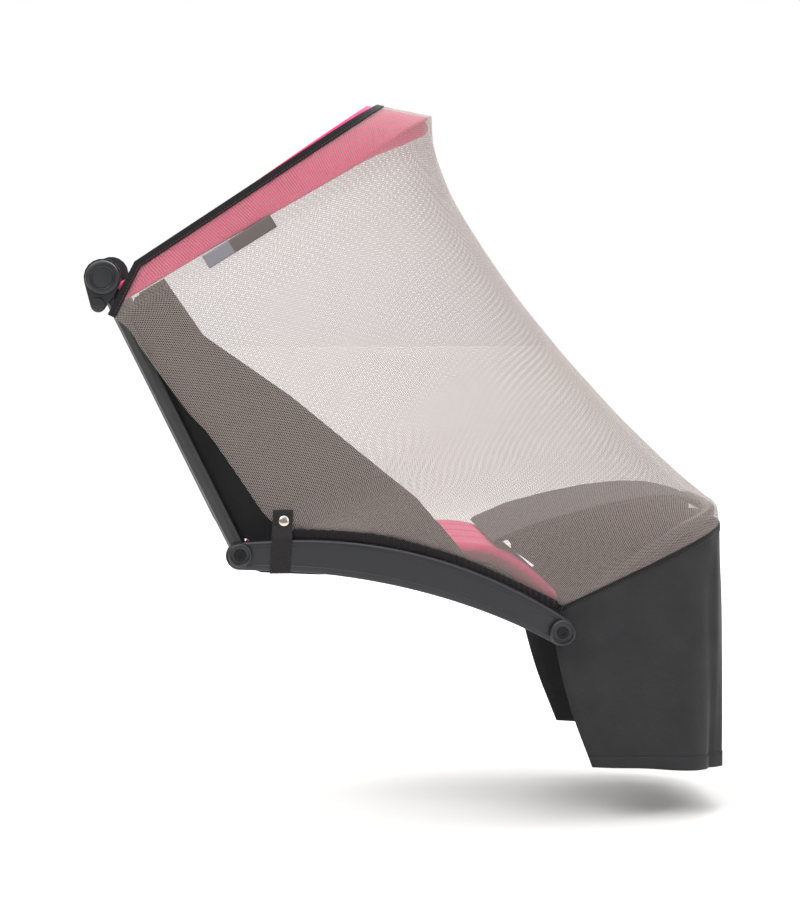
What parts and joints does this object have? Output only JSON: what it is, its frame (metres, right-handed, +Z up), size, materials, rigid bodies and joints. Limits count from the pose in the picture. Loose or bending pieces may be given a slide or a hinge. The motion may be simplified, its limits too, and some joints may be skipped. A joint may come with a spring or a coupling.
{
  "type": "stroller mosquito net on plain seat frame",
  "caption": "Fine mosquito net stretched from a stroller hood's front rim over a plain seat to its foot bar, with a woven foot panel, elastic bindings and rail straps.",
  "frame": {"origin": "midway between the two rear pivots of the seat frame, on their common axis", "axes": "+X the way the seat faces, +Y across the seat to the far side, +Z up"},
  "size_m": [0.8233, 0.4016, 0.8576],
  "materials": {
    "net": "fine taupe polyester knit net",
    "woven_panel": "matt black woven polyester",
    "elastic_tape": "black knitted elastic tape",
    "label": "two-tone grey woven label, bare",
    "webbing": "black webbing",
    "stud": "nickel-plated press stud",
    "rail": "satin black moulded nylon",
    "tube": "black powder coat",
    "hood_cloth": "pink woven polyester",
    "pad_cloth": "pink padded cotton",
    "seat_cloth": "matt black woven polyester"
  },
  "bodies": {
    "root": {"net": "net", "foot_panel": "woven_panel", "hood_binding": "elastic_tape", "rail_binding_near": "elastic_tape", "rail_binding_far": "elastic_tape", "label": "label", "strap_near": "webbing", "strap_far": "webbing", "snap_cap_near": "stud", "snap_cap_far": "stud", "snap_socket_near": "stud", "snap_socket_far": "stud", "rail_near": "rail", "rail_far": "rail", "pivot_rear_near": "rail", "pivot_rear_far": "rail", "pivot_front_near": "rail", "pivot_front_far": "rail", "spacer_near": "rail", "spacer_far": "rail", "hinge_plate_near": "rail", "hinge_plate_far": "rail", "hinge_cap_near": "rail", "hinge_cap_far": "rail", "hinge_knob_near": "rail", "hinge_knob_far": "rail", "side_tube_near": "tube", "side_tube_far": "tube", "cross_bar": "tube", "foot_bar": "tube", "hood_rim": "hood_cloth", "hood_roll": "hood_cloth", "seat_pad": "pad_cloth", "backrest": "seat_cloth", "seat_panel": "seat_cloth", "calf_rest": "seat_cloth", "wing_near": "seat_cloth", "wing_far": "seat_cloth", "calf_skirt_near": "seat_cloth", "calf_skirt_far": "seat_cloth"}
  },
  "joints": []
}
